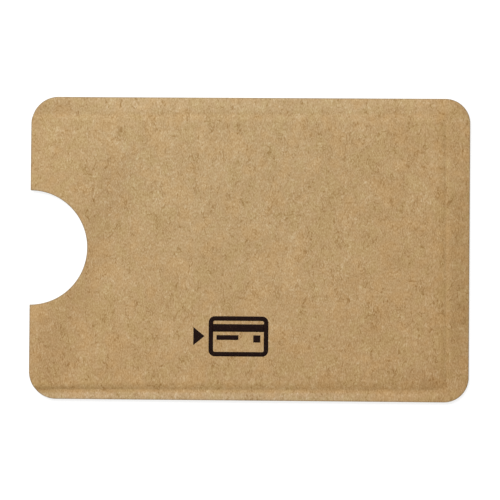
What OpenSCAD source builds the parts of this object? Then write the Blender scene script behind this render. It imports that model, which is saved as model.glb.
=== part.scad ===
// Flat paper holder for one bank card: two webs of kraft paper laminated with foil,
// sealed together round three sides of a pocket, with a half-round thumb notch cut
// through both webs at the open mouth.
// Origin: centre of the rear face, which lies on the table. +X runs from the mouth
// to the closed end, +Y up the printed face and +Z out of it.

/* [Outline] */
// Length from the open mouth to the closed end
holder_l = 92; // [89:0.5:110]
// Height across the pocket
holder_h = 63.4; // [61:0.1:80]
// Radius of the two cut corners at the mouth
mouth_corner_r = 5.7; // [2:0.1:9]
// Radius of the two cut corners at the closed end
end_corner_r = 5.2; // [2:0.1:8]
// Radius of the thumb notch
notch_r = 12; // [6:0.1:16]

/* [Seams] */
// Width of the sealed rim along the top edge
top_seam_w = 3.5; // [2.4:0.1:5]
// Width of the sealed rim along the bottom edge
bottom_seam_w = 2.2; // [2:0.1:5]
// Width of the sealed rim across the closed end
end_seam_w = 5; // [3:0.1:8]
// Corner radius of the pressed crease that borders the pocket
crease_corner_r = 2.4; // [2.3:0.1:4]
// Width over which the kraft paper thins from the rim down into the crease
crease_w = 1; // [0.4:0.1:1.6]
// Depth that the crease is pressed into the kraft paper
crease_depth = 0.08; // [0.02:0.01:0.12]
// Width of the slope that rises from the crease to the pocket's face
shoulder_w = 1.3; // [0.8:0.1:1.9]
// Width of the flat strip above the slope that belongs to the paper's rim
rim_strip_w = 0.2; // [0.1:0.05:0.3]
// Width of the strip outside the crease in which the films lie together but aren't melted
unmelted_w = 0.3; // [0.1:0.1:0.8]

/* [Layers] */
// Thickness of the kraft paper
kraft_t = 0.2; // [0.16:0.01:0.4]
// Thickness of the glue that laminates the foil to the paper
glue_t = 0.02; // [0.01:0.01:0.05]
// Thickness of the aluminium shielding foil
foil_t = 0.02; // [0.01:0.01:0.05]
// Thickness of the clear sealing film inside
film_t = 0.04; // [0.02:0.01:0.08]

/* [Card] */
// Thickness of the card that the pocket takes
card_t = 0.76; // [0.5:0.01:1.2]
// Clearance above the card, and the same below it
card_play = 0.04; // [0.02:0.01:0.2]

/* [Printed mark] */
// Distance from the mouth to the middle of the mark
mark_from_mouth = 42.3; // [30:0.1:60]
// Distance from the bottom edge to the middle of the mark
mark_from_bottom = 13.4; // [11:0.1:25]
// Width of the card drawn in the mark
mark_card_w = 12.5; // [11:0.1:14]
// Height of the card drawn in the mark
mark_card_h = 8.4; // [7.4:0.1:9.4]
// Corner radius of the card drawn in the mark
mark_card_r = 1.3; // [1:0.1:1.8]
// Width of the line that draws the card
mark_line_w = 0.95; // [0.5:0.05:0.98]
// Height of the stripe across the drawn card
mark_stripe_h = 1.6; // [0.8:0.1:2]
// Height of the gaps above and below the stripe
mark_gap_h = 0.7; // [0.4:0.1:0.8]
// Width of the short bar under the stripe
mark_bar_w = 4.6; // [2:0.1:5]
// Height of the short bar under the stripe
mark_bar_h = 1; // [0.5:0.1:1.2]
// Side of the small square beside the bar
mark_dot_w = 1.5; // [0.6:0.1:1.6]
// Width of the arrow head that shows which way the card goes in
mark_arrow_w = 2.3; // [1:0.1:3]
// Height of the arrow head
mark_arrow_h = 3.8; // [2:0.1:5]
// Gap between the arrow head and the drawn card
mark_arrow_gap = 0.9; // [0.4:0.1:2]
// Thickness of the printing ink
ink_t = 0.02; // [0.01:0.01:0.05]

/* [Hidden] */
$fn = 96;

// How far cutting shapes run past what they cut
overrun = 1;
// How deep the blocks of the sloped surfaces reach into the plate they stand on
root_h = 0.1;

// Outline, seen from the front
mouth_x = -holder_l / 2;
end_x = holder_l / 2;
bottom_y = -holder_h / 2;
top_y = holder_h / 2;

// A frame round the outline, for shapes that the outline cuts off
outer_x0 = mouth_x - overrun;
outer_x1 = end_x + overrun;
outer_y0 = bottom_y - overrun;
outer_y1 = top_y + overrun;

// The crease: the line where the seams stop and the pocket starts
crease_x = end_x - end_seam_w;
crease_bottom_y = bottom_y + bottom_seam_w;
crease_top_y = top_y - top_seam_w;

// Heights above the middle plane, where the two webs meet in the rim
foil_z = film_t;
glue_z = foil_z + foil_t;
paper_z = glue_z + glue_t;
web_t = paper_z + kraft_t;
crease_z = web_t - crease_depth;

// How far the pocket's face stands above the rim, and where the middle plane lies
pocket_rise = card_t / 2 + card_play;
middle_z = pocket_rise + web_t;

// Centres of the crease's two corners
corner_x = crease_x - crease_corner_r;
corner_ys = [crease_bottom_y + crease_corner_r, crease_top_y - crease_corner_r];

// Centre of the mark, and of the card drawn in it
mark_x = mouth_x + mark_from_mouth;
mark_y = bottom_y + mark_from_bottom;
mark_card_x = mark_x + (mark_arrow_w + mark_arrow_gap) / 2;
mark_inner_w = mark_card_w - 2 * mark_line_w;
mark_inner_top = mark_card_h / 2 - mark_line_w;

kraft_colour = "#ba9b6f";
glue_colour = "#d9d2bd";
foil_colour = "#c4c6c9";
film_colour = "#e3e6e8";
weld_colour = "#d5d2c8";
ink_colour = "#1f1719";

// A rectangle by its edges
module block_2d(x0, x1, y0, y1) {
    translate([x0, y0]) square([x1 - x0, y1 - y0]);
}

// The same with one radius for its left corners and one for its right
module rounded_block_2d(x0, x1, y0, y1, r_left, r_right) {
    block_2d(x0 + r_left, x1 - r_right, y0, y1);
    block_2d(x0, x0 + r_left, y0 + r_left, y1 - r_left);
    block_2d(x1 - r_right, x1, y0 + r_right, y1 - r_right);
    for (y = [y0 + r_left, y1 - r_left]) translate([x0 + r_left, y]) circle(r_left);
    for (y = [y0 + r_right, y1 - r_right]) translate([x1 - r_right, y]) circle(r_right);
}

// The die-cut outline that both webs share
module outline_2d() {
    difference() {
        rounded_block_2d(mouth_x, end_x, bottom_y, top_y, mouth_corner_r, end_corner_r);
        translate([mouth_x, 0]) circle(notch_r);
    }
}

// The pocket as the crease borders it, grown outwards by a distance. It runs out past the mouth.
module pocket_2d(grow = 0) {
    r = crease_corner_r + grow;
    y0 = crease_bottom_y - grow;
    y1 = crease_top_y + grow;
    block_2d(outer_x0, corner_x, y0, y1);
    block_2d(corner_x - overrun, corner_x + r, y0 + r, y1 - r);
    for (y = corner_ys) translate([corner_x, y]) circle(r);
}

// A block over the pocket whose sides slope: at height z0 it is the pocket grown by grow0,
// and at height z1 the pocket grown by grow1
module sloped_pocket(z0, grow0, z1, grow1) {
    translate([outer_x0, 0]) rotate([90, 0, 90]) linear_extrude(corner_x - outer_x0) polygon([
        [crease_bottom_y - grow0, z0], [crease_top_y + grow0, z0],
        [crease_top_y + grow1, z1], [crease_bottom_y - grow1, z1],
    ]);
    translate([0, corner_ys[1]]) rotate([90, 0, 0]) linear_extrude(corner_ys[1] - corner_ys[0]) polygon([
        [corner_x - overrun, z0], [crease_x + grow0, z0], [crease_x + grow1, z1], [corner_x - overrun, z1],
    ]);
    for (y = corner_ys) translate([corner_x, y, z0])
        cylinder(h = z1 - z0, r1 = crease_corner_r + grow0, r2 = crease_corner_r + grow1);
}

// All that lies under one of the surfaces between two layers. In the rim the surface is at height z,
// from the crease it slopes up, and over the pocket it lies higher by the pocket's rise.
module under_surface(z) {
    plate_under(z);
    sloped_pocket(z - root_h, root_h * shoulder_w / pocket_rise, z + pocket_rise, -shoulder_w);
}

// The same for the paper's outer surface, which the crease is pressed into
module under_paper_surface() {
    slope_w_share = shoulder_w / (pocket_rise + crease_depth);
    difference() {
        plate_under(web_t);
        sloped_pocket(crease_z, 0, web_t + crease_depth, 2 * crease_w);
    }
    sloped_pocket(crease_z - root_h, root_h * slope_w_share, web_t + pocket_rise, -shoulder_w);
}

// A plate up to height z, larger all round than the outline
module plate_under(z) {
    translate([0, 0, -root_h]) linear_extrude(z + root_h) block_2d(outer_x0, outer_x1, outer_y0, outer_y1);
}

// A column that passes through a whole web
module column() {
    translate([0, 0, -overrun]) linear_extrude(middle_z + 2 * overrun) children();
}

// Keeps what lies inside the die-cut outline
module die_cut() {
    intersection() {
        children();
        column() outline_2d();
    }
}

// A layer of the laminate is what lies between two of its surfaces
module layer(z, t) {
    die_cut() difference() {
        under_surface(z + t);
        under_surface(z);
    }
}

// The kraft paper of one web, before it is parted into face and rim
module paper_sheet() {
    die_cut() difference() {
        under_paper_surface();
        under_surface(paper_z);
    }
}

// The flat face of the paper over the pocket, and the rest of it
module paper_face() {
    intersection() {
        paper_sheet();
        column() pocket_2d(-shoulder_w - rim_strip_w);
    }
}

module paper_rim() {
    difference() {
        paper_sheet();
        column() pocket_2d(-shoulder_w - rim_strip_w);
    }
}

// The sealing film, which is a layer of its own only over the pocket and the unmelted strip
module pocket_film() {
    intersection() {
        layer(0, film_t);
        column() pocket_2d(unmelted_w);
    }
}

// The rim band in which both films are melted together, as far as the child shape covers it
module weld_band() {
    translate([0, 0, -film_t]) linear_extrude(2 * film_t) intersection() {
        difference() {
            outline_2d();
            pocket_2d(unmelted_w);
        }
        children();
    }
}

// A web is drawn upwards from the middle plane, and then placed on the front or the rear
module front() {
    translate([0, 0, middle_z]) children();
}

module rear() {
    translate([0, 0, middle_z]) mirror([0, 0, 1]) children();
}

module front_kraft_face() { color(kraft_colour) front() paper_face(); }
module front_kraft_rim() { color(kraft_colour) front() paper_rim(); }
module front_glue_layer() { color(glue_colour) front() layer(glue_z, glue_t); }
module front_foil() { color(foil_colour) front() layer(foil_z, foil_t); }
module front_seal_film() { color(film_colour) front() pocket_film(); }

module rear_seal_film() { color(film_colour) rear() pocket_film(); }
module rear_foil() { color(foil_colour) rear() layer(foil_z, foil_t); }
module rear_glue_layer() { color(glue_colour) rear() layer(glue_z, glue_t); }
module rear_kraft_rim() { color(kraft_colour) rear() paper_rim(); }
module rear_kraft_face() { color(kraft_colour) rear() paper_face(); }

// The weld along a long edge reaches from the mouth to the crease's corner
module top_seam_weld() {
    color(weld_colour) front() weld_band() block_2d(outer_x0, corner_x, 0, outer_y1);
}

module bottom_seam_weld() {
    color(weld_colour) front() weld_band() block_2d(outer_x0, corner_x, outer_y0, 0);
}

// The weld across the closed end takes both of the crease's corners
module end_seam_weld() {
    color(weld_colour) front() weld_band() block_2d(corner_x, outer_x1, outer_y0, outer_y1);
}

// The drawn card: its outline with a stripe across it, a short bar and a small square
module drawn_card_2d() {
    half_w = mark_card_w / 2;
    half_h = mark_card_h / 2;
    inner_r = mark_card_r - mark_line_w;
    bar_top = mark_inner_top - mark_gap_h - mark_stripe_h - mark_gap_h;
    difference() {
        rounded_block_2d(-half_w, half_w, -half_h, half_h, mark_card_r, mark_card_r);
        rounded_block_2d(-half_w + mark_line_w, half_w - mark_line_w,
            -half_h + mark_line_w, half_h - mark_line_w, inner_r, inner_r);
    }
    translate([-mark_inner_w / 2, mark_inner_top - mark_gap_h - mark_stripe_h])
        square([mark_inner_w, mark_stripe_h]);
    translate([-mark_inner_w / 2 + mark_gap_h, bar_top - mark_bar_h]) square([mark_bar_w, mark_bar_h]);
    translate([mark_inner_w / 2 - mark_gap_h - mark_dot_w, bar_top - mark_dot_w]) square(mark_dot_w);
}

// The head points the way in which the card goes
module arrow_head_2d() {
    polygon([[0, -mark_arrow_h / 2], [mark_arrow_w, 0], [0, mark_arrow_h / 2]]);
}

module printed_mark() {
    color(ink_colour) translate([0, 0, 2 * middle_z]) linear_extrude(ink_t) {
        translate([mark_card_x, mark_y]) drawn_card_2d();
        translate([mark_card_x - mark_card_w / 2 - mark_arrow_gap - mark_arrow_w, mark_y]) arrow_head_2d();
    }
}

front_kraft_face();
front_kraft_rim();
front_glue_layer();
front_foil();
front_seal_film();
rear_seal_film();
rear_foil();
rear_glue_layer();
rear_kraft_rim();
rear_kraft_face();
top_seam_weld();
bottom_seam_weld();
end_seam_weld();
printed_mark();
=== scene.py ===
# %% [markdown]
# # A kraft paper card holder, dressed up in Blender
#
# The object is a flat sleeve for one bank card: two sheets of brown kraft paper, each lined with
# aluminium foil, sealed together round three sides and left open on the fourth. It is thinner than
# a coin, so almost all that the eye gets comes from two things: how the paper bends down from the
# raised pocket to the sealed rim, and what the paper itself looks like.
#
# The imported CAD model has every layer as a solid. It could be shown as it is with better materials,
# but its slopes are straight and its edges sharp. So each layer is made again here as a smooth
# surface, all from one function that says how high the sleeve stands at each point.

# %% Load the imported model
import math
import bpy
import numpy as np
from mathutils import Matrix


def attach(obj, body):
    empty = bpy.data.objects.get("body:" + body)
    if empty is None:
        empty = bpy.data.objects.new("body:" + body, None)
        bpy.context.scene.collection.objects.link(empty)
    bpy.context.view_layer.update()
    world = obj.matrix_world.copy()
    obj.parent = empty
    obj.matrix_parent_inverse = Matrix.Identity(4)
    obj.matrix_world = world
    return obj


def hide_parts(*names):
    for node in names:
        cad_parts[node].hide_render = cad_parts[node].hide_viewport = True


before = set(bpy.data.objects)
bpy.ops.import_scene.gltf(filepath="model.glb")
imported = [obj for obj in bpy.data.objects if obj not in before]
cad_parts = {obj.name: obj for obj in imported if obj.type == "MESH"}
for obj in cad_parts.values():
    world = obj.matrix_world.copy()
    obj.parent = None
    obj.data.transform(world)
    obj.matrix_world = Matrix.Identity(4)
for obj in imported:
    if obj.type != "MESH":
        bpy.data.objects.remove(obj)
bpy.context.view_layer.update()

MM = 0.001  # lengths below are in millimetres, and Blender works in metres

# %% [markdown]
# ## The sizes of the real sleeve
#
# A bank card is 85.6 mm long, and the raised pocket is just large enough for one, which gives every
# other length in the picture. The sleeve lies on its back with z = 0 under it. The middle plane,
# where the two sheets touch in the rim, is 0.7 mm up.

# %% Sizes in millimetres
MOUTH_X, END_X = -46.0, 46.0
BOTTOM_Y, TOP_Y = -31.7, 31.7
MOUTH_CORNER_R = 5.7
END_CORNER_R = 5.2
NOTCH_R = 12.0

CREASE_X = 41.0
CREASE_BOTTOM_Y = -29.5
CREASE_TOP_Y = 28.2
CREASE_CORNER_R = 2.4
UNMELTED_W = 0.3

FILM_T = 0.04
FOIL_T = 0.02
GLUE_T = 0.02
KRAFT_T = 0.20
PAPER_Z = FILM_T + FOIL_T + GLUE_T
WEB_T = PAPER_Z + KRAFT_T
POCKET_RISE = 0.42
MIDDLE_Z = POCKET_RISE + WEB_T
print("sleeve", END_X - MOUTH_X, "x", TOP_Y - BOTTOM_Y, "mm, each sheet", round(WEB_T, 2), "mm")

# %% [markdown]
# ## The camera
#
# The photograph looks straight down on the sleeve, but not quite: the left edge is a little shorter
# than the right one, and the bottom edge runs down by half a degree. Such a view could be set by
# eye. It is more exact to give the four corner points of the outline, as pixels of the photograph,
# and let a few steps of Gauss-Newton find the camera that sees the real corners there. A corner
# point is where two straight edges would meet if the corner weren't rounded.

# %% The corners in the photograph and on the sleeve
IMAGE_SIZE = 500
LENS, SENSOR = 165.0, 36.0
CORNER_PIXELS = np.array([[31.90, 96.75], [470.80, 98.78], [468.40, 402.53], [28.72, 398.66]])
RIM_TOP_Z = MIDDLE_Z + WEB_T
CORNER_PLACES = np.array([
    [MOUTH_X, TOP_Y, RIM_TOP_Z],
    [END_X, TOP_Y, RIM_TOP_Z],
    [END_X, BOTTOM_Y, RIM_TOP_Z],
    [MOUTH_X, BOTTOM_Y, RIM_TOP_Z],
])
top_edge = CORNER_PIXELS[1] - CORNER_PIXELS[0]
print("the top edge is", round(math.hypot(*top_edge), 1), "pixels long")

# %% What a camera sees


def turn_matrix(angles):
    """Turns about X first, then about Y, then about Z, which is Blender's XYZ order."""
    (cx, cy, cz), (sx, sy, sz) = np.cos(angles), np.sin(angles)
    about_x = np.array([[1, 0, 0], [0, cx, -sx], [0, sx, cx]])
    about_y = np.array([[cy, 0, sy], [0, 1, 0], [-sy, 0, cy]])
    about_z = np.array([[cz, -sz, 0], [sz, cz, 0], [0, 0, 1]])
    return about_z @ about_y @ about_x


def pixels_of(pose, places):
    """Where such a camera sees the places: sideways distance over depth, times the lens."""
    seen = (places - pose[:3]) @ turn_matrix(pose[3:])
    scale = LENS / SENSOR * IMAGE_SIZE / -seen[:, 2]
    return IMAGE_SIZE / 2 + np.column_stack([scale * seen[:, 0], -scale * seen[:, 1]])


def corner_miss(pose):
    """How far such a camera sees the corners from their pixels, as eight numbers."""
    return (pixels_of(pose, CORNER_PLACES) - CORNER_PIXELS).ravel()


START_DISTANCE = 480.0
pose = np.array([0.0, 0.0, START_DISTANCE, 0.0, 0.0, 0.0])
miss = corner_miss(pose)
print("from straight above, a corner is off by", round(float(np.abs(miss).max()), 1), "pixels")

# %% Find the camera
NUDGES = np.array([1e-3, 1e-3, 1e-3, 1e-6, 1e-6, 1e-6])  # three in millimetres, three in radians
NEWTON_STEPS = 30

for _ in range(NEWTON_STEPS):
    miss = corner_miss(pose)
    nudged = np.array([corner_miss(pose + nudge) for nudge in np.diag(NUDGES)])
    slopes = (nudged - miss).T / NUDGES
    pose = pose - np.linalg.lstsq(slopes, miss, rcond=None)[0]

camera_data = bpy.data.cameras.new("photo_camera")
camera_data.lens = LENS
camera_data.sensor_width = SENSOR
camera_data.clip_start = 0.01
camera_data.clip_end = 20
camera = bpy.data.objects.new("photo_camera", camera_data)
camera.location = pose[:3] * MM
camera.rotation_euler = pose[3:]
bpy.context.scene.collection.objects.link(camera)
bpy.context.scene.camera = camera
print("camera at", np.round(pose[:3], 1), "mm")
print("turned by", np.round(np.degrees(pose[3:]), 2), "degrees")
print("now a corner is off by", round(float(np.abs(miss).max()), 2), "pixels at most")

# %% [markdown]
# ## The cut outline
#
# A steel die cuts both sheets at once: a rectangle with rounded corners and a half-round notch for
# the thumb. Such an outline is often drawn as a curve and filled, but a filled curve can't bend
# down to the rim. Here the sleeve is a stack of rows, each running straight from the left side of
# the outline to its right side. The two sides are functions of the height y, so the grid fits the
# outline exactly, notch and corners included.

# %% The two sides of the outline


def corner_inset(y, radius):
    """How far a rounded corner pulls its side in: r minus the root of r squared minus t squared."""
    above = np.clip(np.abs(y) - (TOP_Y - radius), 0, radius)
    return radius - np.sqrt(radius ** 2 - above ** 2)


def left_side(y):
    """The mouth: pulled in by its corners, and cut back by the circle of the notch."""
    notch = np.sqrt(np.clip(NOTCH_R ** 2 - y ** 2, 0, None))
    return MOUTH_X + corner_inset(y, MOUTH_CORNER_R) + notch


def right_side(y):
    """The closed end, pulled in by its corners."""
    return END_X - corner_inset(y, END_CORNER_R)


def distance_to_cut(x, y):
    """Distance from a point inside to the cut edge: to the rounded box or the notch, if nearer."""
    radius = np.where(x < 0, MOUTH_CORNER_R, END_CORNER_R)
    over_x = np.abs(x) - (END_X - radius)
    over_y = np.abs(y) - (TOP_Y - radius)
    outside = np.hypot(np.clip(over_x, 0, None), np.clip(over_y, 0, None))
    box = radius - outside - np.clip(np.maximum(over_x, over_y), None, 0)
    return np.minimum(box, np.hypot(x - MOUTH_X, y) - NOTCH_R)


print("the bottom of the notch is at x =", float(left_side(0.0)), "mm")

# %% The rows
CORNER_STEPS, NOTCH_STEPS, STRAIGHT_STEPS = 48, 36, 22


def arc_rows(centre, radius, count):
    """Rows that follow an arc from its middle height up, closer together where it levels out."""
    return centre + radius * np.sin(np.linspace(0, np.pi / 2, count + 1))


corner_rows = arc_rows(TOP_Y - MOUTH_CORNER_R, MOUTH_CORNER_R, CORNER_STEPS)
notch_rows = arc_rows(0, NOTCH_R, NOTCH_STEPS)
straight_rows = np.linspace(NOTCH_R, corner_rows[0], STRAIGHT_STEPS + 1)[1:-1]
upper_rows = np.concatenate([notch_rows, straight_rows, corner_rows])
rows = np.concatenate([-upper_rows[:0:-1], upper_rows])
print(len(rows), "rows, from", rows[0], "to", rows[-1])

# %% [markdown]
# ## Where the press stood
#
# A hot frame presses the seams and the crease that borders the pocket, and it stood 0.4 degrees
# askew to the die that cuts the outline. The sleeve could be modelled straight and its middle
# turned afterwards, but the rim would tear off. So each pressed shape is a function of a point in
# the press's own axes, and one function takes a point of the sleeve there. Whatever fades in or
# out does so by one smooth step, which is level at both ends and leaves no kink in the paper.

# %% The press's axes and the line of the crease
PRESS_TURN = 0.0070
PRESSED_TOP_Y = CREASE_TOP_Y + 0.1
PRESSED_BOTTOM_Y = CREASE_BOTTOM_Y - 0.05
PRESSED_END_X = CREASE_X + 0.1


def smooth_step(t):
    """Goes from 0 to 1 as t does, level at both ends: three t squared minus two t cubed."""
    t = np.clip(t, 0, 1)
    return t * t * (3 - 2 * t)


def eased(value, start, width):
    """A smooth step from a start over a width, towards lower values if the width is negative."""
    return smooth_step((value - start) / width)


def pressed_place(x, y):
    """The same point in the press's axes: turned by a small angle, so its sine is the angle."""
    return x + PRESS_TURN * y, y - PRESS_TURN * x


def crease_distance(x, y):
    """Distance from the crease, below zero inside: a rounded box that runs out past the mouth."""
    middle_y = (PRESSED_TOP_Y + PRESSED_BOTTOM_Y) / 2
    half_h = (PRESSED_TOP_Y - PRESSED_BOTTOM_Y) / 2
    over_x = x - (PRESSED_END_X - CREASE_CORNER_R)
    over_y = np.abs(y - middle_y) - (half_h - CREASE_CORNER_R)
    outside = np.hypot(np.clip(over_x, 0, None), np.clip(over_y, 0, None))
    return outside + np.clip(np.maximum(over_x, over_y), None, 0) - CREASE_CORNER_R


print("the crease is", round(float(-crease_distance(0.0, 0.0)), 2), "mm from the sleeve's middle")

# %% [markdown]
# ## How the pocket swells
#
# The rim is pressed flat and thin, and inside the crease the paper swells up to the pocket. Seen in
# the photograph it is steep next to the crease and then goes on rising slowly for a few
# millimetres. Two smooth steps added together do both. What the paper has risen from each of the
# three sides is multiplied, which rounds the pocket's corners. Bending a plane with modifiers could
# give the same, but then the layers wouldn't stay parallel.

# %% The swelling
STEEP_SHARE, SLOW_SHARE = 0.78, 0.22
SLOW_W = 7
LONG_SLOPE_W, LONG_SLOPE_GROWTH, LONG_SLOPE_POWER = 1.75, 0.008, 0.8
END_SLOPE_W, END_SLOPE_POWER = 2.2, 0.56


def rise(inside, width, power):
    """Share of the height at a distance inside the crease: a steep step and a slow one, added.

    A power below 1 puts the steepest part of the first step on the crease's side.
    """
    steep = smooth_step(np.clip(inside / width, 0, 1) ** power)
    return STEEP_SHARE * steep + SLOW_SHARE * smooth_step(inside / SLOW_W)


def swell(x, y):
    """Share of the pocket's full height: what it has risen from each of three sides, multiplied.

    The long slopes get wider towards the closed end, where the paper is stiffer.
    """
    long_slope_w = LONG_SLOPE_W + LONG_SLOPE_GROWTH * x
    from_top = rise(PRESSED_TOP_Y - y, long_slope_w, LONG_SLOPE_POWER)
    from_bottom = rise(y - PRESSED_BOTTOM_Y, long_slope_w, LONG_SLOPE_POWER)
    from_end = rise(PRESSED_END_X - x, END_SLOPE_W, END_SLOPE_POWER)
    return from_top * from_bottom * from_end


probe_inside = np.array([0.5, 1.0, 2.0, 7.0])
probe_rise = rise(probe_inside, LONG_SLOPE_W, LONG_SLOPE_POWER)
print("share risen", probe_inside, "mm inside a long side:", np.round(probe_rise, 2))

# %% [markdown]
# ## The crease, the rim and the cut edge
#
# The edge of the hot frame leaves a groove up to a tenth of a millimetre deep, and light from the
# side draws it as a dark line beside a pale one. The rim beyond it isn't level, because paper that
# was heated and let go bends. The free paper over the pocket has slow waves, and the die rolls the
# outer face down where it cuts. Each of these could be sculpted by hand. As functions of the place
# they simply add up, and every layer gets just those that reach it.

# %% The groove, the bent rim, the waves and the rolled edge
GROOVE_DEPTH, DEEPER_AT_MOUTH, SHALLOWER_AT_END = 0.058, 0.042, 0.026
GROOVE_TO_POCKET, GROOVE_TO_RIM, NARROWER_AT_END = 0.6, 1.5, 0.5
LOST_AT_LOW_CORNER = 0.5
TOP_LIFT, TOP_SAG = 0.08, 0.30
END_SAG, END_LIFT = 0.26, 0.07
BOTTOM_CURL, LESS_CURL_AT_END = 0.16, 0.06
WAVES = (  # height, length in x, length in y, both over two pi, and where the wave starts
    (0.022, 5.1, 9.0, 0.6),
    (0.018, 8.3, -4.7, 2.1),
    (0.016, 3.6, 3.1, 4.0),
)
ROLL_DEPTH, ROLL_W = 0.07, 0.7


def groove(x, y):
    """Depth of the pressed crease: one minus t squared, all squared, deepest on its line.

    It is short on the pocket's side and long on the rim's. It gets deeper towards the mouth, and
    shallower and narrower across the closed end. The lower one loses half of its depth just
    before the mouth.
    """
    off_line = crease_distance(x, y)
    at_mouth = eased(x, start=-22, width=-16)
    at_end = eased(x, start=38, width=2)
    reach = np.where(off_line > 0, GROOVE_TO_RIM - NARROWER_AT_END * at_end, GROOVE_TO_POCKET)
    depth = GROOVE_DEPTH + DEEPER_AT_MOUTH * at_mouth - SHALLOWER_AT_END * at_end
    depth = depth * (1 - LOST_AT_LOW_CORNER * eased(x, start=-38, width=-5) * (y < 0))
    return depth * (1 - np.clip(np.abs(off_line) / reach, 0, 1) ** 2) ** 2


def rim_bend(x, y):
    """How far the rim is off level: it sags at the top and the closed end, and curls up below."""
    top = TOP_LIFT - TOP_SAG * eased(x, start=MOUTH_X + 2, width=14)
    end = END_LIFT * eased(y, start=5, width=15) - END_SAG
    bottom = BOTTOM_CURL - LESS_CURL_AT_END * eased(x, start=34, width=8)
    return (
        top * eased(y, start=PRESSED_TOP_Y, width=4.2)
        + end * eased(x, start=PRESSED_END_X, width=6)
        + bottom * eased(y, start=PRESSED_BOTTOM_Y + 0.4, width=-2.4)
    )


def waviness(x, y):
    """Slow waves of the free paper over the pocket: a sum of cosines, level at the crease."""
    waves = sum(
        height * np.cos(x / length_x + y / length_y + start)
        for height, length_x, length_y, start in WAVES
    )
    return waves * eased(-crease_distance(x, y), start=0, width=9)


def rolled_edge(x, y):
    """How far the die pushed the outer face down at the very edge: a squared fall-off."""
    return ROLL_DEPTH * np.clip(1 - distance_to_cut(x, y) / ROLL_W, 0, 1) ** 2


probe_groove = groove(np.array([-44.0, 0.0]), PRESSED_BOTTOM_Y)
print("groove at the mouth and in the middle:", np.round(probe_groove, 3), "mm deep")

# %% The surfaces of the two sheets


def front_surface(x, y, offset):
    """Height of a surface of the front sheet: a sum of offset, bent rim, pocket and waves.

    The offset is how far the surface lies from the middle plane where the sheets are sealed.
    """
    x, y = pressed_place(x, y)
    return MIDDLE_Z + offset + rim_bend(x, y) + POCKET_RISE * swell(x, y) + waviness(x, y)


def rear_surface(x, y, offset):
    """The same for the rear sheet, mirrored, and without waves as it lies on the table."""
    x, y = pressed_place(x, y)
    return MIDDLE_Z - offset + rim_bend(x, y) - POCKET_RISE * swell(x, y)


def front_face(x, y):
    """The outer face of the front paper: its surface, less the crease and the rolled edge."""
    return front_surface(x, y, WEB_T) - groove(*pressed_place(x, y)) - rolled_edge(x, y)


def rear_face(x, y):
    """The outer face of the rear paper: its surface, with the same two marks turned inwards."""
    return rear_surface(x, y, WEB_T) + groove(*pressed_place(x, y)) + rolled_edge(x, y)


probe_y = np.array([-31.6, -30.5, -29.5, -28.8, -27.5, 0.0, 26.5, 28.2, 30.0, 31.6])
probe_z = front_face(np.zeros_like(probe_y), probe_y)
print("front face from bottom to top:", np.round(probe_z, 2))

# %% [markdown]
# ## Painted light and shade, and darker patches
#
# Part of the light and shade on the paper is painted into its colour. The top and bottom seams are
# painted pale, as rims lit by the lamp, and the end seam darker and yellower, as a shaded rim. The
# slopes along the bottom and the end, which face away from the lamp, get a touch of warm painted
# shade. The lower crease near the mouth and the pocket's lower right corner are painted darker as
# shade, and a band beside the notch and two more corners are darker too. This could be painted by
# hand, but a formula follows the pressed shape exactly. Each mark is a number at every point of the
# paper, and the material turns it into a tint.

# %% Numbers for the paper's tints
TOP_PALENESS, BOTTOM_FADING = 0.6, 0.4
END_TONE_Y = [-29, -24, -14, -4, 8, 20]
END_TONE = [0.2, -0.4, -1.0, -0.75, -0.75, -0.15]
SLOPE_SHADE_MIDDLE, SLOPE_SHADE_REACH = 0.7, 1.6
BAND_X, BAND_COS, BAND_SIN, BAND_REACH, BAND_AMOUNT = -33.5, 0.935, 0.356, 4.5, 0.5
SPOTS = (  # amount, x and y of the middle, reach in x and in y
    (0.55, 37.5, -26.8, 6.0, 3.0),
    (0.50, -42.0, 29.0, 8.0, 3.0),
    (0.60, 45.3, 29.2, 1.1, 2.0),
    (1.20, -43.0, -30.1, 3.0, 0.6),
    (0.40, -31.0, -30.1, 9.0, 0.5),
    (0.40, -35.5, -28.85, 4.5, 0.45),
)


def seam_light_and_shade(x, y):
    """Painted light and shade on the seams: 1 where painted palest, -1 where darkest and yellowest.

    The bottom seam is the palest, most of all near the mouth, and the top one fades before the
    mouth. The end seam is yellowest below its middle and pale again at its lowest corner.
    """
    x, y = pressed_place(x, y)
    top = TOP_PALENESS * eased(y, start=PRESSED_TOP_Y, width=1.2)
    top = top * eased(x, start=MOUTH_X + 2, width=14)
    bottom = 1 - BOTTOM_FADING * eased(x, start=10, width=30)
    bottom = bottom * eased(y, start=PRESSED_BOTTOM_Y, width=-0.8)
    end = np.interp(y, END_TONE_Y, END_TONE)
    return top + bottom + (end - top - bottom) * eased(x, start=PRESSED_END_X, width=1.5)


def painted_slope_shade(x, y):
    """Painted warm shade on the slopes along the bottom and the end, away from the lamp: a bell
    across them.
    """
    x, y = pressed_place(x, y)
    inside = np.minimum(y - PRESSED_BOTTOM_Y, PRESSED_END_X - x)
    off_middle = np.abs(inside - SLOPE_SHADE_MIDDLE) / SLOPE_SHADE_REACH
    return (1 - np.clip(off_middle, 0, 1) ** 2) ** 2


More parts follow.
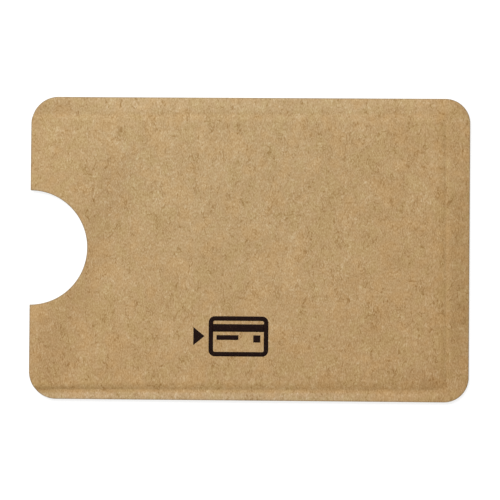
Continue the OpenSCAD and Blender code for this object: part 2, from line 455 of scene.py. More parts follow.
def dark_patches_and_shade(x, y):
    """How much darker the paper is painted: a bell across a slanting line, and bell spots.

    The line runs from the upper middle of the sleeve past the notch to its lower corner. Three
    spots lie at corners, the lower right one painted shade of the pocket's slope. Three long ones
    follow the lower crease near the mouth, as painted shade in the crease.
    """
    across = BAND_COS * (x - BAND_X) - BAND_SIN * y
    along = BAND_SIN * (x - BAND_X) + BAND_COS * y
    ends = eased(along, start=-34, width=10) * eased(along, start=28, width=-12)
    amount = BAND_AMOUNT * (np.exp(-(across / BAND_REACH) ** 2) * ends)
    for peak, spot_x, spot_y, reach_x, reach_y in SPOTS:
        off_x = (x - spot_x) / reach_x
        off_y = (y - spot_y) / reach_y
        amount = amount + peak * np.exp(-off_x ** 2 - off_y ** 2)
    return amount


print("bottom seam's tone at its middle:", round(float(seam_light_and_shade(0.0, -31.0)), 2))

# %% [markdown]
# ## Turning the layers into closed meshes
#
# A layer is the space between two surfaces over one grid of points. Solidify could thicken a single
# surface, but it moves points along their normals, and thin layers would cut into each other on the
# slopes. So both surfaces are computed on the same grid and joined by a wall round the edge. The
# wall is flat shaded and the two faces are smooth, which keeps the cut edge crisp.

# %% Grids
# Columns stand close together near both ends, at these distances from the cut in millimetres
NEAR_MOUTH = np.array([0, 0.05, 0.12, 0.2, 0.3, 0.45, 0.65, 0.9, 1.2])
NEAR_END = np.concatenate([[0, 0.05, 0.12, 0.2, 0.3, 0.45, 0.6], np.linspace(0.8, 7.6, 36)])
SPREAD_COLUMNS = 103


def row_grid(y_rows, left, right, shares):
    """Points of a grid: each row runs from left(y) to right(y), with a point at each share."""
    y = np.repeat(y_rows[:, None], len(shares), axis=1)
    low = left(y_rows)[:, None]
    high = right(y_rows)[:, None]
    return low + (high - low) * shares[None, :], y


def sleeve_grid(y_rows, keep):
    """The whole outline: columns at fixed distances from its sides, and evenly spread between.

    Only every keep-th row and column is returned.
    """
    low = left_side(y_rows)[:, None]
    high = right_side(y_rows)[:, None]
    shares = np.linspace(0, 1, SPREAD_COLUMNS + 2)[1:-1]
    inner_low = low + NEAR_MOUTH[-1]
    inner_high = high - NEAR_END[-1]
    x = np.hstack([
        low + NEAR_MOUTH,
        inner_low + (inner_high - inner_low) * shares,
        high - NEAR_END[::-1],
    ])
    y = np.repeat(y_rows[:, None], x.shape[1], axis=1)
    return x[::keep, ::keep], y[::keep, ::keep]


paper_x, paper_y = sleeve_grid(rows, 1)
lining_x, lining_y = sleeve_grid(rows, 2)
print("grid of the paper", paper_x.shape, "and of its lining", lining_x.shape)

# %% Closed bodies and pieces


def closed_layer(x, y, z_low, z_high):
    """A closed body between two surfaces over one grid: two faces, and a wall round their edge.

    Returns its points, its faces and which of the faces are wall.
    """
    index = np.arange(x.size).reshape(x.shape)
    points = np.concatenate([
        np.column_stack([x.ravel(), y.ravel(), z_low.ravel()]),
        np.column_stack([x.ravel(), y.ravel(), z_high.ravel()]),
    ])
    corners = [index[:-1, :-1], index[:-1, 1:], index[1:, 1:], index[1:, :-1]]
    cells = np.stack(corners, axis=-1).reshape(-1, 4)
    rim = np.concatenate([index[0, :-1], index[:-1, -1], index[-1, :0:-1], index[:0:-1, 0]])
    rim_next = np.roll(rim, -1)
    wall = np.column_stack([rim, rim_next, rim_next + x.size, rim + x.size])
    faces = np.concatenate([cells[:, ::-1], cells + x.size, wall])
    return points, faces, np.arange(len(faces)) >= 2 * len(cells)


def make_piece(name, bodies, attributes=None):
    """One object from a list of closed bodies. Walls are flat and take the second material."""
    sizes = [len(body[0]) for body in bodies]
    firsts = np.concatenate([[0], np.cumsum(sizes)[:-1]])
    points = np.concatenate([body[0] for body in bodies])
    faces = np.concatenate([body[1] + first for body, first in zip(bodies, firsts)])
    is_wall = np.concatenate([body[2] for body in bodies])
    mesh = bpy.data.meshes.new(name)
    mesh.vertices.add(len(points))
    mesh.vertices.foreach_set("co", (points * MM).astype(np.float32).ravel())
    mesh.loops.add(faces.size)
    mesh.loops.foreach_set("vertex_index", faces.astype(np.int32).ravel())
    mesh.polygons.add(len(faces))
    mesh.polygons.foreach_set("loop_start", np.arange(0, faces.size, 4, dtype=np.int32))
    mesh.polygons.foreach_set("material_index", is_wall.astype(np.int32))
    mesh.polygons.foreach_set("use_smooth", ~is_wall)
    for key, values in (attributes or {}).items():
        layer = mesh.attributes.new(key, "FLOAT", "POINT")
        layer.data.foreach_set("value", np.tile(values.ravel(), 2).astype(np.float32))
    mesh.update(calc_edges=True)
    piece = bpy.data.objects.new(name, mesh)
    bpy.context.scene.collection.objects.link(piece)
    return piece


def dress(piece, materials, nodes):
    """Gives a piece its finish, lets it ride on the sleeve and stand for its CAD nodes."""
    for material in materials:
        piece.data.materials.append(material)
    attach(piece, "root")
    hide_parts(*nodes)
    print(piece.name, "has", len(piece.data.polygons), "faces and stands for", ", ".join(nodes))


# %% [markdown]
# ## Nodes and colours
#
# Each finish is a small network of nodes. It could be wired up in the node editor, but as text it
# can be read and changed line by line. One function adds a node, sets its properties and feeds
# its inputs, either with a plain value or with another node's output. Colours are written as the
# hex values that a picture shows, and Blender wants them linear, so one function turns them.

# %% Helpers for materials


def linear(hex_colour):
    """sRGB to linear light: small values divided by 12.92, the others raised to the power 2.4."""
    shown = np.array([int(hex_colour[i:i + 2], 16) for i in (1, 3, 5)]) / 255
    light = np.where(shown <= 0.04045, shown / 12.92, ((shown + 0.055) / 1.055) ** 2.4)
    return (*light.tolist(), 1.0)


def add_node(tree, kind, inputs=None, stops=(), **settings):
    """Adds a node, sets its properties, and gives each named input a value or links an output.

    A colour ramp also gets its stops: pairs of a place from 0 to 1 and a hex colour.
    """
    node = tree.nodes.new(kind)
    for key, value in settings.items():
        setattr(node, key, value)
    for key, value in (inputs or {}).items():
        if isinstance(value, bpy.types.NodeSocket):
            tree.links.new(value, node.inputs[key])
        else:
            node.inputs[key].default_value = value
    for _ in stops[2:]:
        node.color_ramp.elements.new(0.5)
    for number, (place, colour) in enumerate(stops):
        node.color_ramp.elements[number].position = place
        node.color_ramp.elements[number].color = linear(colour)
    return node


def new_material(name, **sockets):
    """A new material, its node tree, its shader with plain sockets set, and the place.

    The place is the point on the piece, in metres, and every pattern starts from it.
    """
    material = bpy.data.materials.new(name)
    material.use_nodes = True
    tree = material.node_tree
    shader = tree.nodes["Principled BSDF"]
    for key, value in sockets.items():
        shader.inputs[key.replace("_", " ")].default_value = value
    return material, tree, shader, add_node(tree, "ShaderNodeTexCoord").outputs["Object"]


print("kraft brown in linear light:", np.round(linear("#B8996D"), 3))

# %% [markdown]
# ## Kraft paper: clouds and grain
#
# Brown kraft paper is made of long, unbleached softwood fibres, laid down wet, pressed and dried on
# a smooth cylinder. So it is matt and faintly fibrous, and close to, it isn't one brown. The pulp
# lies in clouds a few millimetres across, and in between is a grain of fibre ends about a quarter
# of a millimetre wide. A picture of paper could be laid over the sleeve, but it would repeat or
# end. Noise textures give clouds and grain at their real sizes everywhere. The paper machine pulls
# the wet sheet along, here across the card, and draws the grain out to twice its length that way.

# %% The paper's clouds and grain
CLOUDS_PER_MM, MOTTLE_PER_MM, GRAIN_PER_MM = 0.16, 0.75, 4.2

kraft, tree, shader, place = new_material(
    "kraft_paper_pressed", Roughness=0.86, Specular_IOR_Level=0.28,
)
in_mm = add_node(
    tree, "ShaderNodeMapping", {"Vector": place, "Scale": (1000, 1000, 1000)},
).outputs[0]
drawn_out = add_node(
    tree, "ShaderNodeMapping", {"Vector": place, "Scale": (1000, 500, 1000)},
).outputs[0]
clouds = add_node(
    tree, "ShaderNodeTexNoise", {"Vector": in_mm, "Scale": CLOUDS_PER_MM, "Detail": 1.5},
)
mottle = add_node(
    tree, "ShaderNodeTexNoise", {"Vector": in_mm, "Scale": MOTTLE_PER_MM, "Detail": 2.0},
)
grain = add_node(
    tree, "ShaderNodeTexNoise",
    {"Vector": drawn_out, "Scale": GRAIN_PER_MM, "Detail": 2.0, "Roughness": 0.62},
)
print("clouds every", round(1 / CLOUDS_PER_MM, 2), "mm")
print("mottle every", round(1 / MOTTLE_PER_MM, 2), "mm")
print("grain every", round(1 / GRAIN_PER_MM, 2), "mm")

# %% [markdown]
# ## Kraft paper: fibres
#
# Single darker and paler fibres curl over the surface, each a millimetre or two long. They could be
# thousands of thin curves. But noise has such lines in it too: the places where it crosses its own
# middle value. A ramp draws them with flat tops and soft sides, and a second noise keeps only
# short stretches. A real fibre is 0.03 mm wide, too fine to show, so the lines are drawn about
# 0.15 mm wide.

# %% The paper's fibres
STRANDS = (  # kind, waves per millimetre, and a shift in millimetres that keeps the kinds apart
    ("dark", 0.70, 17.0),
    ("pale", 0.80, 71.0),
    ("fine", 1.30, 133.0),
)
LINE_STOPS = [(0.46, "#000000"), (0.485, "#BCBCBC"), (0.515, "#BCBCBC"), (0.54, "#000000")]
STRETCH_STOPS = [(0.53, "#000000"), (0.60, "#FFFFFF")]

strands = {}
for kind, scale, shift in STRANDS:
    moved = add_node(
        tree, "ShaderNodeMapping", {"Vector": drawn_out, "Location": (shift, -shift, 0.5 * shift)},
    ).outputs[0]
    contour = add_node(
        tree, "ShaderNodeTexNoise",
        {"Vector": moved, "Scale": scale, "Detail": 1.0, "Distortion": 1.4},
    )
    line = add_node(tree, "ShaderNodeValToRGB", {"Fac": contour.outputs["Fac"]}, stops=LINE_STOPS)
    patches = add_node(
        tree, "ShaderNodeTexNoise", {"Vector": moved, "Scale": scale * 1.1, "Detail": 0.0},
    )
    stretch = add_node(
        tree, "ShaderNodeValToRGB", {"Fac": patches.outputs["Fac"]}, stops=STRETCH_STOPS,
    )
    strands[kind] = add_node(
        tree, "ShaderNodeMath", {0: line.outputs["Color"], 1: stretch.outputs["Color"]},
        operation="MULTIPLY",
    ).outputs[0]
print("kinds of fibre:", *strands)

# %% [markdown]
# ## Kraft paper: its browns
#
# Clouds, grain and fibres are added up with weights into one tone, and a ramp turns the tone into
# browns from dark bark to straw. The hue isn't even either. Patches of pulp a few millimetres
# across lean to green or to red. Over the whole sleeve a painted cool tint of the lamp's light lies
# near a place on the top edge, and the paper is painted slowly warmer away from it. These could be
# mixed into the ramp, but as pale tints that are multiplied on, one after another, each stays easy
# to judge.

# %% The paper's browns
tone = add_node(
    tree, "ShaderNodeMath", {0: clouds.outputs["Fac"], 1: 0.11, 2: 0.07}, operation="MULTIPLY_ADD",
).outputs[0]
for source, weight in (
    (mottle.outputs["Fac"], 0.12),
    (grain.outputs["Fac"], 0.56),
    (strands["dark"], -0.26),
    (strands["pale"], 0.17),
    (strands["fine"], -0.19),
):
    tone = add_node(
        tree, "ShaderNodeMath", {0: source, 1: weight, 2: tone}, operation="MULTIPLY_ADD",
    ).outputs[0]
brown = add_node(
    tree, "ShaderNodeValToRGB", {"Fac": tone},
    stops=[(0.20, "#9F773F"), (0.50, "#CFAC7C"), (0.80, "#F5E0B9")],
)

pulp = add_node(tree, "ShaderNodeTexNoise", {"Vector": in_mm, "Scale": 0.30, "Detail": 2.0})
hue = add_node(
    tree, "ShaderNodeValToRGB", {"Fac": pulp.outputs["Fac"]},
    stops=[(0.36, "#FBFDF8"), (0.50, "#FCFCFE"), (0.64, "#FFFCF7")],
)
# Painted light: a cool tint near the top edge on the lamp's side, growing warmer away from it
in_decimetres = add_node(
    tree, "ShaderNodeMapping", {"Vector": place, "Scale": (10, 10, 10)},
).outputs[0]
away = add_node(
    tree, "ShaderNodeVectorMath", {0: in_decimetres, 1: (-0.12, 0.31, 0.0)}, operation="DISTANCE",
).outputs["Value"]
painted_cool_light = add_node(
    tree, "ShaderNodeValToRGB", {"Fac": away},
    stops=[(0.20, "#F7FBFD"), (0.60, "#FCFAF5"), (0.85, "#FFF9EF")],
)
print("kraft paper has", len(tree.nodes), "nodes so far")

# %% [markdown]
# ## Kraft paper: painted light and shade, dark patches and the cut
#
# The numbers kept on the paper's points come in here. The seams' painted light and shade picks a
# tint from a ramp, and the painted warm shade of the slopes and the darker patches fade their tints
# in. A painted mask could hold them too, but it would be as coarse as its pixels. The last quarter of
# a millimetre before the cut edge is painted darker and greyer, as shade along the edge. The raised
# grain and the dark fibres also give a very low bump, which breaks the light up.

# %% The paper's tints and relief
marked = {
    key: add_node(tree, "ShaderNodeAttribute", attribute_name=key).outputs["Fac"]
    for key in ("seam_light_and_shade", "painted_slope_shade", "dark_patches_and_shade", "cut_mm")
}
# Painted light and shade: the top and bottom seams lit pale, the end seam shaded darker and yellower
seam_share = add_node(
    tree, "ShaderNodeMapRange", {"Value": marked["seam_light_and_shade"], "From Min": -1.0, "From Max": 1.0},
).outputs[0]
seam_light_tint = add_node(
    tree, "ShaderNodeValToRGB", {"Fac": seam_share},
    stops=[(0.0, "#D6D4CE"), (0.5, "#E3E3E3"), (0.8, "#E8EAEF"), (1.0, "#E8EFFF")],
)
colour = brown.outputs["Color"]
for share, tint in (
    (1.0, hue.outputs["Color"]),
    (1.0, painted_cool_light.outputs["Color"]),
    (1.0, seam_light_tint.outputs["Color"]),
    # painted warm shade on the slopes that face away from the lamp
    (marked["painted_slope_shade"], linear("#FFFDF6")),
    # darker patches, with painted shade in the lower crease and at the pocket's lower right corner
    (marked["dark_patches_and_shade"], linear("#EAE6E2")),
):
    colour = add_node(
        tree, "ShaderNodeMix", {0: share, 6: colour, 7: tint},
        data_type="RGBA", blend_type="MULTIPLY",
    ).outputs[2]

# Painted shade: the last quarter millimetre before the cut is darker and greyer
at_cut = add_node(
    tree, "ShaderNodeMapRange",
    {"Value": marked["cut_mm"], "From Min": 0.05, "From Max": 0.26, "To Min": 0.55, "To Max": 0.0},
).outputs[0]
edged = add_node(
    tree, "ShaderNodeMix", {0: at_cut, 6: colour, 7: linear("#7B6B52")}, data_type="RGBA",
).outputs[2]
tree.links.new(edged, shader.inputs["Base Color"])

relief = add_node(
    tree, "ShaderNodeMath", {0: grain.outputs["Fac"], 1: 0.7, 2: strands["dark"]},
    operation="MULTIPLY_ADD",
).outputs[0]
bump = add_node(
    tree, "ShaderNodeBump", {"Height": relief, "Strength": 0.35, "Distance": 0.00002},
)
tree.links.new(bump.outputs["Normal"], shader.inputs["Normal"])
print("kraft paper has", len(tree.nodes), "nodes")

# %% [markdown]
# ## The paper's cut edge
#
# The cut edge is the paper's felt of fibres seen from the end: rougher, darker, and in thin layers.
# It could share the face's material, but that has no layers. A noise squeezed in z gives them,
# 0.03 mm apart.

# %% The cut edge's finish
cut_kraft, tree, shader, place = new_material(
    "kraft_paper_die_cut_edge", Roughness=0.95, Specular_IOR_Level=0.2,
)
in_plies = add_node(
    tree, "ShaderNodeMapping", {"Vector": place, "Scale": (2500, 2500, 30000)},
).outputs[0]
plies = add_node(tree, "ShaderNodeTexNoise", {"Vector": in_plies, "Scale": 1.0, "Detail": 2.0})
edge_brown = add_node(
    tree, "ShaderNodeValToRGB", {"Fac": plies.outputs["Fac"]},
    stops=[(0.3, "#7A5F3D"), (0.7, "#AC9067")],
)
tree.links.new(edge_brown.outputs["Color"], shader.inputs["Base Color"])
print("cut edge:", cut_kraft.name)

# %% [markdown]
# ## Foil, film, glue and the welds
#
# The lining only shows at the cut edges and deep in the mouth. Aluminium foil is rolled to 0.02 mm
# and gets fine wrinkles about a millimetre apart when it is laminated. The clear polyethylene film
# over it is what melts in the seams, and there it turns milky. Flat colours would do from afar,
# but each gets the small unevenness that its making leaves.

# %% The foil's finish
WRINKLES_PER_M = 900.0

foil, tree, shader, place = new_material("rolled_aluminium_foil", Metallic=1.0, Roughness=0.3)
wrinkles = add_node(
    tree, "ShaderNodeTexNoise",
    {"Vector": place, "Scale": WRINKLES_PER_M, "Detail": 3.0, "Distortion": 0.8},
)
silver = add_node(
    tree, "ShaderNodeValToRGB", {"Fac": wrinkles.outputs["Fac"]},
    stops=[(0.3, "#C2C4C7"), (0.7, "#DFE0E2")],
)
tree.links.new(silver.outputs["Color"], shader.inputs["Base Color"])
bump = add_node(
    tree, "ShaderNodeBump",
    {"Height": wrinkles.outputs["Fac"], "Strength": 0.4, "Distance": 0.00004},
)
tree.links.new(bump.outputs["Normal"], shader.inputs["Normal"])
print(foil.name, "has wrinkles", round(1000 / WRINKLES_PER_M, 1), "mm apart")

# %% The finishes of film, glue and weld
SOFT_LAYERS = (  # name, dull and bright colour, roughness, grain in millimetres, opacity
    ("clear_polyethylene_film", "#D9DCDD", "#ECEEEF", 0.22, 1.2, 0.35),
    ("laminating_glue_coat", "#CFC5AA", "#E0D8C2", 0.50, 0.4, 1.0),
    ("melted_polyethylene_weld", "#B9B39F", "#D6D1C2", 0.42, 0.6, 1.0),
)

soft_layers = []
for name, dull, bright, roughness, grain_mm, opacity in SOFT_LAYERS:
    material, tree, shader, place = new_material(name, Roughness=roughness, IOR=1.51)
    flow = add_node(
        tree, "ShaderNodeTexNoise", {"Vector": place, "Scale": 1000 / grain_mm, "Detail": 2.0},
    )
    tint = add_node(
        tree, "ShaderNodeValToRGB", {"Fac": flow.outputs["Fac"]},
        stops=[(0.3, dull), (0.7, bright)],
    )
    tree.links.new(tint.outputs["Color"], shader.inputs["Base Color"])
    shader.inputs["Alpha"].default_value = opacity
    soft_layers.append(material)
film, glue, weld = soft_layers
print("soft layers:", film.name, glue.name, weld.name)

# %% [markdown]
# ## The two lined sheets
#
# Both sheets go through the same steps, so one loop makes them. The paper gets the full grid, since
# the light runs over its slopes. The lining gets every second row and column. Four numbers are kept
# on the paper's points for its material.

# %% Make the paper and its lining
SHEETS = (("front", front_surface, front_face), ("rear", rear_surface, rear_face))
LINING = (  # piece, CAD node, material slot, material, distance from the middle plane, thickness
    ("glue_coat", "glue_layer", "laminating_glue", glue, FILM_T + FOIL_T, GLUE_T),
    ("foil_ply", "foil", "aluminium_foil", foil, FILM_T, FOIL_T),
)
marks = {
    "cut_mm": distance_to_cut(paper_x, paper_y),
    "seam_light_and_shade": seam_light_and_shade(paper_x, paper_y),
    "painted_slope_shade": painted_slope_shade(paper_x, paper_y),
    "dark_patches_and_shade": dark_patches_and_shade(paper_x, paper_y),
}


def low_and_high(side, inner, outer):
    """Two surfaces of a sheet, the lower one first: on the rear sheet that is the outer one."""
    return (inner, outer) if side == "front" else (outer, inner)


for side, surface, face in SHEETS:
    low, high = low_and_high(side, surface(paper_x, paper_y, PAPER_Z), face(paper_x, paper_y))
    sheet = make_piece(side + "_kraft_sheet", [closed_layer(paper_x, paper_y, low, high)], marks)
    dress(sheet, [kraft, cut_kraft], [side + "_kraft_face", side + "_kraft_rim"])
    for ply_name, node, slot, material, offset, thickness in LINING:
        inner = surface(lining_x, lining_y, offset)
        outer = surface(lining_x, lining_y, offset + thickness)
        low, high = low_and_high(side, inner, outer)
        ply = make_piece(side + "_" + ply_name, [closed_layer(lining_x, lining_y, low, high)])
        dress(ply, [material, material], [side + "_" + node])

# %% [markdown]
# ## The films and the welds
#
# In the rim the two films are melted into one band 0.08 mm thick. The weld stops 0.3 mm outside the
# crease, and from there inwards the films are separate and line the pocket. Cutting the bands out
# of the whole outline would leave ragged ends. The border between weld and film is the crease's own
# shape, grown by those 0.3 mm, and row functions draw it as they draw the outline.

# %% The border between weld and film
BORDER_TOP_Y = CREASE_TOP_Y + UNMELTED_W
BORDER_BOTTOM_Y = CREASE_BOTTOM_Y - UNMELTED_W
BORDER_R = CREASE_CORNER_R + UNMELTED_W
BEND_X = CREASE_X - CREASE_CORNER_R
BEND_STEPS = 16
STRAIGHT_GAP, EDGE_GAP = 0.2, 0.02  # no other row lies nearer than this to a bend or a border


def border_side(y):
    """The border's closed end: the bends' start plus the root of r squared less t squared."""
    past_top = y - (BORDER_TOP_Y - BORDER_R)
    past_bottom = (BORDER_BOTTOM_Y + BORDER_R) - y
    past = np.clip(np.maximum(past_top, past_bottom), 0, BORDER_R)
    return BEND_X + np.sqrt(BORDER_R ** 2 - past ** 2)


def bend_start(y):
    """A straight side where the crease's bends start."""
    return np.full_like(y, BEND_X)


bend_rows = BORDER_R * (1 - np.cos(np.linspace(0, np.pi / 2, BEND_STEPS + 1)))
above_bend = rows > BORDER_BOTTOM_Y + BORDER_R + STRAIGHT_GAP
below_bend = rows < BORDER_TOP_Y - BORDER_R - STRAIGHT_GAP
film_rows = np.concatenate([
    BORDER_BOTTOM_Y + bend_rows,
    rows[above_bend & below_bend],
    (BORDER_TOP_Y - bend_rows)[::-1],
])
rows_below = rows[rows < BORDER_BOTTOM_Y - EDGE_GAP]
rows_above = rows[rows > BORDER_TOP_Y + EDGE_GAP]
end_rows = np.concatenate([rows_below, film_rows, rows_above])
top_rows = np.concatenate([[BORDER_TOP_Y], rows_above])
bottom_rows = np.concatenate([rows_below, [BORDER_BOTTOM_Y]])
print("rows of film:", len(film_rows), "and of weld:", len(rows_below), "and", len(rows_above))

# %% Make the films and the welds
LONG_COLUMNS, END_COLUMNS = 121, 25
SEAMS = (  # seam, its rows, left and right side, columns
    ("top_seam", top_rows, left_side, bend_start, LONG_COLUMNS),
    ("bottom_seam", bottom_rows, left_side, bend_start, LONG_COLUMNS),
    ("end_seam", end_rows, border_side, right_side, END_COLUMNS),
)

film_x, film_y = row_grid(film_rows, left_side, border_side, np.linspace(0, 1, LONG_COLUMNS))
for side, surface, _ in SHEETS:
    inner = surface(film_x, film_y, 0.0)
    outer = surface(film_x, film_y, FILM_T)
    low, high = low_and_high(side, inner, outer)
    ply = make_piece(side + "_film_ply", [closed_layer(film_x, film_y, low, high)])
    dress(ply, [film, film], [side + "_seal_film"])

for name, band_rows, left, right, columns in SEAMS:
    band_x, band_y = row_grid(band_rows, left, right, np.linspace(0, 1, columns))
    low = rear_surface(band_x, band_y, FILM_T)
    high = front_surface(band_x, band_y, FILM_T)
    band = make_piece(name + "_melted_band", [closed_layer(band_x, band_y, low, high)])
    dress(band, [weld, weld], [name + "_weld"])

# %% [markdown]
# ## The printed mark
#
# A small picture is printed low on the front: a bank card with its stripe, and an arrow head that
# shows which way the card goes in. The ink is a film 0.02 mm thick that follows the paper, so it is
# made like the layers, from outlines laid over the height function. A texture painted on the paper
# would do for one view, but its edge would be as coarse as the paper's grid.

# %% Sizes of the mark
MARK_X, MARK_Y = -2.1, -18.3
MARK_W, MARK_H, MARK_R = 12.5, 8.4, 1.3
LINE_W = 0.95
GAP = 0.7
STRIPE_H, STRIPE_OVERLAP = 1.6, 0.1
BAR_W, BAR_H = 4.6, 1.0
DOT_W = 1.5
ARROW_W, ARROW_H, ARROW_GAP = 2.3, 3.8, 0.9
TIP_H = 0.08  # the arrow's tip is cut this blunt, because a grid has four corners
INK_LOW, INK_HIGH = -0.006, 0.014

inner_w = MARK_W - 2 * LINE_W
stripe_top = MARK_H / 2 - LINE_W - GAP
bar_top = stripe_top - STRIPE_H - GAP
bar_left = -inner_w / 2 + GAP
dot_right = inner_w / 2 - GAP
arrow_left = -MARK_W / 2 - ARROW_GAP - ARROW_W
print("the mark reaches from", round(arrow_left, 2), "to", MARK_W / 2, "mm about its middle")

# %% Grids for the mark


def patch_grid(corners, n_across, n_up):
    """A grid over four corners, lower left first and going round: a blend of its two side lines."""
    across = np.linspace(0, 1, n_across)[None, :, None]
    up = np.linspace(0, 1, n_up)[:, None, None]
    a, b, c, d = np.array(corners, float)
    points = (1 - up) * ((1 - across) * a + across * b) + up * ((1 - across) * d + across * c)
    return points[..., 0] + MARK_X, points[..., 1] + MARK_Y


def rectangle(x0, x1, y0, y1):
    """The four corners of a rectangle, lower left first and going round."""
    return [(x0, y0), (x1, y0), (x1, y1), (x0, y1)]


def frame_grid(width, height, radius, line, n_bend, n_side, n_across):
    """A frame with rounded corners: quarter arcs about the corners' centres, at several radii.

    The radii run from r less the line's width up to r. The straight sides are the gaps between
    arcs, filled with evenly spread points.
    """
    turns = np.linspace(0, np.pi / 2, n_bend)
    arcs = []
    for quarter, (sx, sy) in enumerate(((1, 1), (-1, 1), (-1, -1), (1, -1))):
        angle = turns + quarter * np.pi / 2
        centre = np.array([sx * (width / 2 - radius), sy * (height / 2 - radius)])
        way = np.column_stack([np.cos(angle), np.sin(angle)])
        arcs.append((np.repeat(centre[None], n_bend, axis=0), way))
    centres, ways = [], []
    for (centre, way), (next_centre, _) in zip(arcs, arcs[1:] + arcs[:1]):
        t = np.linspace(0, 1, n_side)[1:-1, None]
        centres += [centre, centre[-1] + t * (next_centre[0] - centre[-1])]
        ways += [way, np.repeat(way[-1][None], n_side - 2, axis=0)]
    radii = np.linspace(radius - line, radius, n_across)[:, None, None]
    points = np.concatenate(centres)[None] + radii * np.concatenate(ways)[None]
    return points[..., 0] + MARK_X, points[..., 1] + MARK_Y


# %% The mark's shapes
arrow_right = arrow_left + ARROW_W
arrow_head = [
    (arrow_left, -ARROW_H / 2), (arrow_right, -TIP_H / 2),
    (arrow_right, TIP_H / 2), (arrow_left, ARROW_H / 2),
]
stripe_right = inner_w / 2 + STRIPE_OVERLAP
stripe = rectangle(-stripe_right, stripe_right, stripe_top - STRIPE_H, stripe_top)
bar = rectangle(bar_left, bar_left + BAR_W, bar_top - BAR_H, bar_top)
dot = rectangle(dot_right - DOT_W, dot_right, bar_top - DOT_W, bar_top)
shapes = [
    patch_grid(stripe, n_across=30, n_up=5),
    patch_grid(bar, n_across=14, n_up=4),
    patch_grid(dot, n_across=6, n_up=6),
    patch_grid(arrow_head, n_across=9, n_up=13),
]

# The frame is made in two halves, because a ring has no edge where its wall could close
frame_x, frame_y = frame_grid(MARK_W, MARK_H, MARK_R, LINE_W, n_bend=9, n_side=20, n_across=4)
half = frame_x.shape[1] // 2
for start in (0, half):
    columns = np.arange(start, start + half + 1) % frame_x.shape[1]
    shapes.append((frame_x[:, columns][:, ::-1], frame_y[:, columns][:, ::-1]))

inks = []
for ink_x, ink_y in shapes:
    paper_z = front_face(ink_x, ink_y)
    inks.append(closed_layer(ink_x, ink_y, paper_z + INK_LOW, paper_z + INK_HIGH))
mark = make_piece("printed_card_mark", inks)
print(mark.name, "is", len(inks), "bodies of ink")

# %% [markdown]
# ## The ink
#
# It is offset ink, a very dark brown that sinks into the kraft a little. So it is matt, and a few
# paler fibre ends show through, a fifth of a millimetre wide. Plain black would look like a hole
# in the paper.

# %% The ink's finish
SPECKS_PER_M = 5200.0

ink_black, tree, shader, place = new_material(
    "offset_ink_on_kraft", Roughness=0.70, Specular_IOR_Level=0.05,
)
cover = add_node(
    tree, "ShaderNodeTexNoise", {"Vector": place, "Scale": SPECKS_PER_M, "Detail": 1.0},
)
black = add_node(
    tree, "ShaderNodeValToRGB", {"Fac": cover.outputs["Fac"]},
    stops=[(0.30, "#110706"), (0.68, "#1D0F0B"), (0.80, "#573F2B")],
)
tree.links.new(black.outputs["Color"], shader.inputs["Base Color"])
bump = add_node(
    tree, "ShaderNodeBump",
    {"Height": cover.outputs["Fac"], "Strength": 0.3, "Distance": 0.00002},
)
tree.links.new(bump.outputs["Normal"], shader.inputs["Normal"])
dress(mark, [ink_black, ink_black], ["printed_mark"])

# %% [markdown]
# ## Light
#
# The photograph has one large soft light beyond the top left corner: the paper is brightest there,
# and slopes that face the other way are darker. A sun would light the whole sleeve alike. A square
# area light doesn't, and its distance sets how much the brightness falls off. A pale world fills
# the rest. Behind the sleeve and in reflections it is pure white, as the photograph's ground is.

# %% Light
LIGHT_AZIMUTH = math.atan2(0.82, -0.57)
LIGHT_ELEVATION = math.radians(58)
LIGHT_DISTANCE, LIGHT_SIZE = 0.38, 0.22
LIGHT_WATTS = 1.46

light_data = bpy.data.lights.new("window_light", "AREA")
light_data.shape = "SQUARE"
light_data.size = LIGHT_SIZE
light_data.energy = LIGHT_WATTS
light = bpy.data.objects.new("window_light", light_data)
light.location = (
    LIGHT_DISTANCE * math.cos(LIGHT_ELEVATION) * math.cos(LIGHT_AZIMUTH),
    LIGHT_DISTANCE * math.cos(LIGHT_ELEVATION) * math.sin(LIGHT_AZIMUTH),
    LIGHT_DISTANCE * math.sin(LIGHT_ELEVATION),
)
light.rotation_euler = (-light.location).to_track_quat("-Z", "Y").to_euler()
bpy.context.scene.collection.objects.link(light)
print("light at", np.round(np.array(light.location), 2), "m")

# %% World
WHITE = linear("#FFFFFF")
ROOM_STRENGTH = 0.36

world = bpy.data.worlds.new("pale_room")
bpy.context.scene.world = world
world.use_nodes = True
tree = world.node_tree
room = tree.nodes["Background"]
room.inputs["Color"].default_value = WHITE
room.inputs["Strength"].default_value = ROOM_STRENGTH
backdrop = add_node(tree, "ShaderNodeBackground", {"Color": WHITE, "Strength": 1.0})
ray = add_node(tree, "ShaderNodeLightPath").outputs
seen = ray["Is Camera Ray"]
for kind in ("Is Transmission Ray", "Is Glossy Ray"):
    seen = add_node(tree, "ShaderNodeMath", {0: seen, 1: ray[kind]}, operation="MAXIMUM").outputs[0]
mixed = add_node(
    tree, "ShaderNodeMixShader", {0: seen, 1: room.outputs[0], 2: backdrop.outputs[0]},
)
tree.links.new(mixed.outputs[0], tree.nodes["World Output"].inputs["Surface"])
print(world.name, "lights with a strength of", ROOM_STRENGTH)

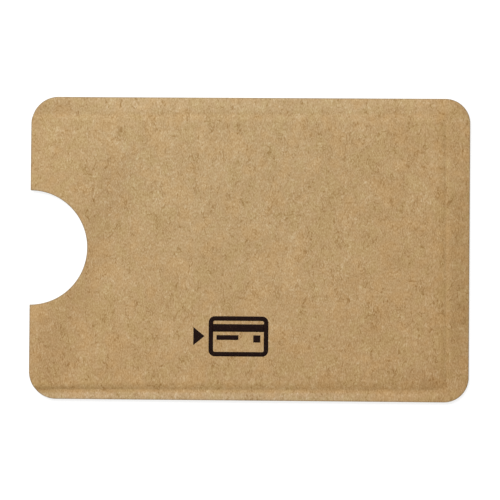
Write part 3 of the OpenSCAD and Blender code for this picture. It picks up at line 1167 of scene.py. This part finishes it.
# %% [markdown]
# ## The table
#
# The sleeve lies on a plain white table. A white floor in this light would look grey to the
# camera, and more light would wash out the paper. So the floor has two looks. The lamp and the
# paper meet a plain matt table. The camera and reflections meet a glow with a little shade added,
# which is white where the lamp reaches and a touch darker in the sleeve's shadow.

# %% Floor
HALF_FLOOR = 3.0
FLOOR_DROP = 0.00003  # so that the sleeve's lowest face doesn't share the floor's plane

floor_mesh = bpy.data.meshes.new("floor")
floor_corners = [(HALF_FLOOR * x, HALF_FLOOR * y, 0) for x, y in rectangle(-1, 1, -1, 1)]
floor_mesh.from_pydata(floor_corners, [], [(0, 1, 2, 3)])
floor = bpy.data.objects.new("floor", floor_mesh)
floor.location.z = -FLOOR_DROP
bpy.context.scene.collection.objects.link(floor)
print("floor", 2 * HALF_FLOOR, "m wide")

# %% The table's finish
TABLE_GREY = linear("#E7E7E7")
SHADE_GREY = linear("#959595")

table, tree, shader, place = new_material("white_table", Base_Color=TABLE_GREY, Roughness=0.9)
from_middle = add_node(
    tree, "ShaderNodeVectorMath", {0: place}, operation="LENGTH",
).outputs["Value"]
glow_strength = add_node(
    tree, "ShaderNodeMapRange",
    {"Value": from_middle, "From Min": 0.07, "From Max": 0.30, "To Min": 0.80, "To Max": 1.0},
).outputs[0]
glow = add_node(tree, "ShaderNodeEmission", {"Color": WHITE, "Strength": glow_strength})
shade = add_node(tree, "ShaderNodeBsdfDiffuse", {"Color": SHADE_GREY})
glow_and_shade = add_node(tree, "ShaderNodeAddShader", {0: glow.outputs[0], 1: shade.outputs[0]})
ray = add_node(tree, "ShaderNodeLightPath").outputs
seen = add_node(
    tree, "ShaderNodeMath", {0: ray["Is Camera Ray"], 1: ray["Is Glossy Ray"]},
    operation="MAXIMUM",
).outputs[0]
mixed = add_node(
    tree, "ShaderNodeMixShader", {0: seen, 1: shader.outputs[0], 2: glow_and_shade.outputs[0]},
)
tree.links.new(mixed.outputs[0], tree.nodes["Material Output"].inputs["Surface"])
floor_mesh.materials.append(table)
print("the floor is a", table.name)

# %% [markdown]
# ## The view transform
#
# Colours go through Blender's Standard view transform, and the scene is brought up to date.

# %% Set the view transform
bpy.context.scene.view_settings.view_transform = "Standard"
bpy.context.view_layer.update()
